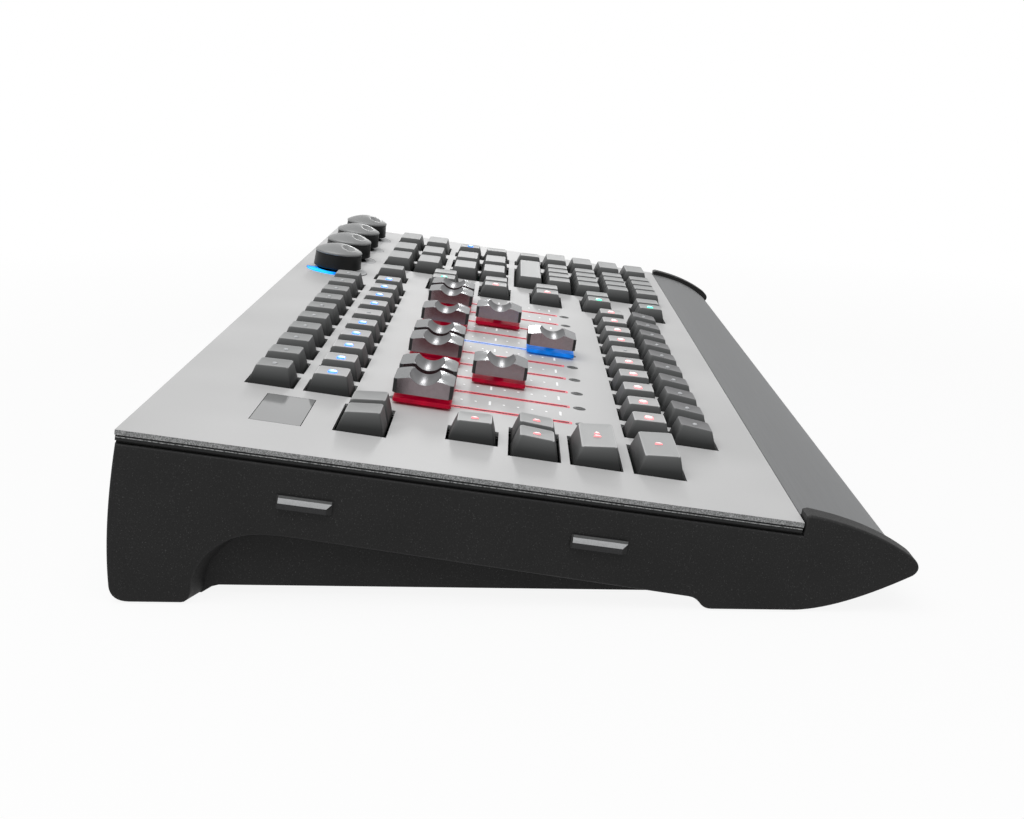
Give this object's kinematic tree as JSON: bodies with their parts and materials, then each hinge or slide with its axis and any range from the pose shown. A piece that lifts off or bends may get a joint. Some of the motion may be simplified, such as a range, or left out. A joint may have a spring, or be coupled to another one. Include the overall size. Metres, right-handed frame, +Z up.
{
  "type": "lighting control desk",
  "caption": "Sloping desktop lighting console with faders, encoder knobs, sprung key banks, wrist rest and arched end cheeks.",
  "frame": {"origin": "middle of the desk's footprint, on the surface that it stands on", "axes": "+X along the desk towards the right-hand end as the operator sees it, -Y towards the operator, +Z up"},
  "size_m": [0.5824, 0.2848, 0.077],
  "materials": {
    "face_metal": "satin silver grey, fine bead blast",
    "rest_metal": "satin grey",
    "black_sheet": "matt black powder coat",
    "cheek_black": "fine sandy texture, near black",
    "key_grey": "fine matt, charcoal",
    "knob_black": "satin black",
    "fader_cap": "dark metallised, polished",
    "side_bar": "satin dark grey",
    "light_guide": "milky translucent",
    "board": "green solder mask",
    "mechanism": "plain",
    "foot_rubber": "matt black"
  },
  "bodies": {
    "desk": {"face_plate": "face_metal", "blank_insert": "face_metal", "key_frame": "black_sheet", "base_pan": "black_sheet", "left_cheek": "cheek_black", "right_cheek": "cheek_black", "wrist_rest": "rest_metal", "main_board": "board", "fader_rack": "mechanism", "encoder_rack": "mechanism", "ring_light": "light_guide", "side_bar_left_rear": "side_bar", "foot_pad_left_rear": "foot_rubber", "side_bar_left_front": "side_bar", "foot_pad_left_front": "foot_rubber", "side_bar_right_rear": "side_bar", "foot_pad_right_rear": "foot_rubber", "side_bar_right_front": "side_bar", "foot_pad_right_front": "foot_rubber"},
    "fader_cap_01": {"fader_cap_01": "fader_cap"},
    "fader_cap_02": {"fader_cap_02": "fader_cap"},
    "fader_cap_03": {"fader_cap_03": "fader_cap"},
    "fader_cap_04": {"fader_cap_04": "fader_cap"},
    "fader_cap_05": {"fader_cap_05": "fader_cap"},
    "fader_cap_06": {"fader_cap_06": "fader_cap"},
    "fader_cap_07": {"fader_cap_07": "fader_cap"},
    "fader_cap_08": {"fader_cap_08": "fader_cap"},
    "fader_cap_09": {"fader_cap_09": "fader_cap"},
    "fader_cap_10": {"fader_cap_10": "fader_cap"},
    "encoder_knob_1": {"encoder_knob_1": "knob_black"},
    "encoder_knob_2": {"encoder_knob_2": "knob_black"},
    "encoder_knob_3": {"encoder_knob_3": "knob_black"},
    "encoder_knob_4": {"encoder_knob_4": "knob_black"},
    "key_left_a1": {"key_left_a1": "key_grey"},
    "key_left_a2": {"key_left_a2": "key_grey"},
    "key_left_b": {"key_left_b": "key_grey"},
    "key_left_c1": {"key_left_c1": "key_grey"},
    "key_left_c2": {"key_left_c2": "key_grey"},
    "key_left_d": {"key_left_d": "key_grey"},
    "key_left_e": {"key_left_e": "key_grey"},
    "key_lone": {"key_lone": "key_grey"},
    "keys_row_a": {"keys_row_a": "key_grey"},
    "keys_row_b": {"keys_row_b": "key_grey"},
    "keys_row_c": {"keys_row_c": "key_grey"},
    "keys_row_d": {"keys_row_d": "key_grey"},
    "keys_pair_1": {"keys_pair_1": "key_grey"},
    "keys_pair_2": {"keys_pair_2": "key_grey"},
    "keys_pair_3": {"keys_pair_3": "key_grey"},
    "keys_pair_4": {"keys_pair_4": "key_grey"},
    "keys_pair_5": {"keys_pair_5": "key_grey"},
    "keys_pad_1": {"keys_pad_1": "key_grey"},
    "keys_pad_2": {"keys_pad_2": "key_grey"},
    "keys_pad_3": {"keys_pad_3": "key_grey"},
    "keys_pad_4": {"keys_pad_4": "key_grey"},
    "keys_pad_5": {"keys_pad_5": "key_grey"},
    "keys_pad_6": {"keys_pad_6": "key_grey"},
    "keys_pad_7": {"keys_pad_7": "key_grey"},
    "keys_pad_8": {"keys_pad_8": "key_grey"},
    "keys_pad_9": {"keys_pad_9": "key_grey"}
  },
  "joints": [
    {"name": "fader_cap_01_slide", "type": "slide", "parent": "desk", "child": "fader_cap_01", "axis": [0, -0.9921, -0.1253], "range_m": [-0.0023, 0.0577]},
    {"name": "fader_cap_02_slide", "type": "slide", "parent": "desk", "child": "fader_cap_02", "axis": [0, -0.9921, -0.1253], "range_m": [-0.0023, 0.0577]},
    {"name": "fader_cap_03_slide", "type": "slide", "parent": "desk", "child": "fader_cap_03", "axis": [0, -0.9921, -0.1253], "range_m": [-0.0327, 0.0273]},
    {"name": "fader_cap_04_slide", "type": "slide", "parent": "desk", "child": "fader_cap_04", "axis": [0, -0.9921, -0.1253], "range_m": [-0.0023, 0.0577]},
    {"name": "fader_cap_05_slide", "type": "slide", "parent": "desk", "child": "fader_cap_05", "axis": [0, -0.9921, -0.1253], "range_m": [-0.0023, 0.0577]},
    {"name": "fader_cap_06_slide", "type": "slide", "parent": "desk", "child": "fader_cap_06", "axis": [0, -0.9921, -0.1253], "range_m": [-0.0575, 0.0025]},
    {"name": "fader_cap_07_slide", "type": "slide", "parent": "desk", "child": "fader_cap_07", "axis": [0, -0.9921, -0.1253], "range_m": [-0.0023, 0.0577]},
    {"name": "fader_cap_08_slide", "type": "slide", "parent": "desk", "child": "fader_cap_08", "axis": [0, -0.9921, -0.1253], "range_m": [-0.0299, 0.0301]},
    {"name": "fader_cap_09_slide", "type": "slide", "parent": "desk", "child": "fader_cap_09", "axis": [0, -0.9921, -0.1253], "range_m": [-0.0023, 0.0577]},
    {"name": "fader_cap_10_slide", "type": "slide", "parent": "desk", "child": "fader_cap_10", "axis": [0, -0.9921, -0.1253], "range_m": [-0.0023, 0.0577]},
    {"name": "encoder_knob_1_turn", "type": "hinge", "parent": "desk", "child": "encoder_knob_1", "pos_m": [0.0885, 0.11269, 0.06023], "axis": [0, -0.1253, 0.9921], "continuous": true},
    {"name": "encoder_knob_2_turn", "type": "hinge", "parent": "desk", "child": "encoder_knob_2", "pos_m": [0.1395, 0.11269, 0.06023], "axis": [0, -0.1253, 0.9921], "continuous": true},
    {"name": "encoder_knob_3_turn", "type": "hinge", "parent": "desk", "child": "encoder_knob_3", "pos_m": [0.1905, 0.11269, 0.06023], "axis": [0, -0.1253, 0.9921], "continuous": true},
    {"name": "encoder_knob_4_turn", "type": "hinge", "parent": "desk", "child": "encoder_knob_4", "pos_m": [0.2415, 0.11269, 0.06023], "axis": [0, -0.1253, 0.9921], "continuous": true},
    {"name": "key_left_a1_press", "type": "slide", "parent": "desk", "child": "key_left_a1", "axis": [0, 0.1253, -0.9921], "range_m": [0, 0.0036], "stiffness_N_per_m": 80, "springref_m": -0.004},
    {"name": "key_left_a2_press", "type": "slide", "parent": "desk", "child": "key_left_a2", "axis": [0, 0.1253, -0.9921], "range_m": [0, 0.0036], "stiffness_N_per_m": 80, "springref_m": -0.004},
    {"name": "key_left_b_press", "type": "slide", "parent": "desk", "child": "key_left_b", "axis": [0, 0.1253, -0.9921], "range_m": [0, 0.0036], "stiffness_N_per_m": 80, "springref_m": -0.004},
    {"name": "key_left_c1_press", "type": "slide", "parent": "desk", "child": "key_left_c1", "axis": [0, 0.1253, -0.9921], "range_m": [0, 0.0036], "stiffness_N_per_m": 80, "springref_m": -0.004},
    {"name": "key_left_c2_press", "type": "slide", "parent": "desk", "child": "key_left_c2", "axis": [0, 0.1253, -0.9921], "range_m": [0, 0.0036], "stiffness_N_per_m": 80, "springref_m": -0.004},
    {"name": "key_left_d_press", "type": "slide", "parent": "desk", "child": "key_left_d", "axis": [0, 0.1253, -0.9921], "range_m": [0, 0.0036], "stiffness_N_per_m": 80, "springref_m": -0.004},
    {"name": "key_left_e_press", "type": "slide", "parent": "desk", "child": "key_left_e", "axis": [0, 0.1253, -0.9921], "range_m": [0, 0.0036], "stiffness_N_per_m": 80, "springref_m": -0.004},
    {"name": "key_lone_press", "type": "slide", "parent": "desk", "child": "key_lone", "axis": [0, 0.1253, -0.9921], "range_m": [0, 0.0036], "stiffness_N_per_m": 80, "springref_m": -0.004},
    {"name": "keys_row_a_press", "type": "slide", "parent": "desk", "child": "keys_row_a", "axis": [0, 0.1253, -0.9921], "range_m": [0, 0.0036], "stiffness_N_per_m": 800, "springref_m": -0.004},
    {"name": "keys_row_b_press", "type": "slide", "parent": "desk", "child": "keys_row_b", "axis": [0, 0.1253, -0.9921], "range_m": [0, 0.0036], "stiffness_N_per_m": 800, "springref_m": -0.004},
    {"name": "keys_row_c_press", "type": "slide", "parent": "desk", "child": "keys_row_c", "axis": [0, 0.1253, -0.9921], "range_m": [0, 0.0036], "stiffness_N_per_m": 800, "springref_m": -0.004},
    {"name": "keys_row_d_press", "type": "slide", "parent": "desk", "child": "keys_row_d", "axis": [0, 0.1253, -0.9921], "range_m": [0, 0.0036], "stiffness_N_per_m": 800, "springref_m": -0.004},
    {"name": "keys_pair_1_press", "type": "slide", "parent": "desk", "child": "keys_pair_1", "axis": [0, 0.1253, -0.9921], "range_m": [0, 0.0036], "stiffness_N_per_m": 160, "springref_m": -0.004},
    {"name": "keys_pair_2_press", "type": "slide", "parent": "desk", "child": "keys_pair_2", "axis": [0, 0.1253, -0.9921], "range_m": [0, 0.0036], "stiffness_N_per_m": 160, "springref_m": -0.004},
    {"name": "keys_pair_3_press", "type": "slide", "parent": "desk", "child": "keys_pair_3", "axis": [0, 0.1253, -0.9921], "range_m": [0, 0.0036], "stiffness_N_per_m": 160, "springref_m": -0.004},
    {"name": "keys_pair_4_press", "type": "slide", "parent": "desk", "child": "keys_pair_4", "axis": [0, 0.1253, -0.9921], "range_m": [0, 0.0036], "stiffness_N_per_m": 160, "springref_m": -0.004},
    {"name": "keys_pair_5_press", "type": "slide", "parent": "desk", "child": "keys_pair_5", "axis": [0, 0.1253, -0.9921], "range_m": [0, 0.0036], "stiffness_N_per_m": 160, "springref_m": -0.004},
    {"name": "keys_pad_1_press", "type": "slide", "parent": "desk", "child": "keys_pad_1", "axis": [0, 0.1253, -0.9921], "range_m": [0, 0.0036], "stiffness_N_per_m": 240, "springref_m": -0.004},
    {"name": "keys_pad_2_press", "type": "slide", "parent": "desk", "child": "keys_pad_2", "axis": [0, 0.1253, -0.9921], "range_m": [0, 0.0036], "stiffness_N_per_m": 240, "springref_m": -0.004},
    {"name": "keys_pad_3_press", "type": "slide", "parent": "desk", "child": "keys_pad_3", "axis": [0, 0.1253, -0.9921], "range_m": [0, 0.0036], "stiffness_N_per_m": 240, "springref_m": -0.004},
    {"name": "keys_pad_4_press", "type": "slide", "parent": "desk", "child": "keys_pad_4", "axis": [0, 0.1253, -0.9921], "range_m": [0, 0.0036], "stiffness_N_per_m": 240, "springref_m": -0.004},
    {"name": "keys_pad_5_press", "type": "slide", "parent": "desk", "child": "keys_pad_5", "axis": [0, 0.1253, -0.9921], "range_m": [0, 0.0036], "stiffness_N_per_m": 160, "springref_m": -0.004},
    {"name": "keys_pad_6_press", "type": "slide", "parent": "desk", "child": "keys_pad_6", "axis": [0, 0.1253, -0.9921], "range_m": [0, 0.0036], "stiffness_N_per_m": 400, "springref_m": -0.004},
    {"name": "keys_pad_7_press", "type": "slide", "parent": "desk", "child": "keys_pad_7", "axis": [0, 0.1253, -0.9921], "range_m": [0, 0.0036], "stiffness_N_per_m": 400, "springref_m": -0.004},
    {"name": "keys_pad_8_press", "type": "slide", "parent": "desk", "child": "keys_pad_8", "axis": [0, 0.1253, -0.9921], "range_m": [0, 0.0036], "stiffness_N_per_m": 400, "springref_m": -0.004},
    {"name": "keys_pad_9_press", "type": "slide", "parent": "desk", "child": "keys_pad_9", "axis": [0, 0.1253, -0.9921], "range_m": [0, 0.0036], "stiffness_N_per_m": 400, "springref_m": -0.004}
  ]
}
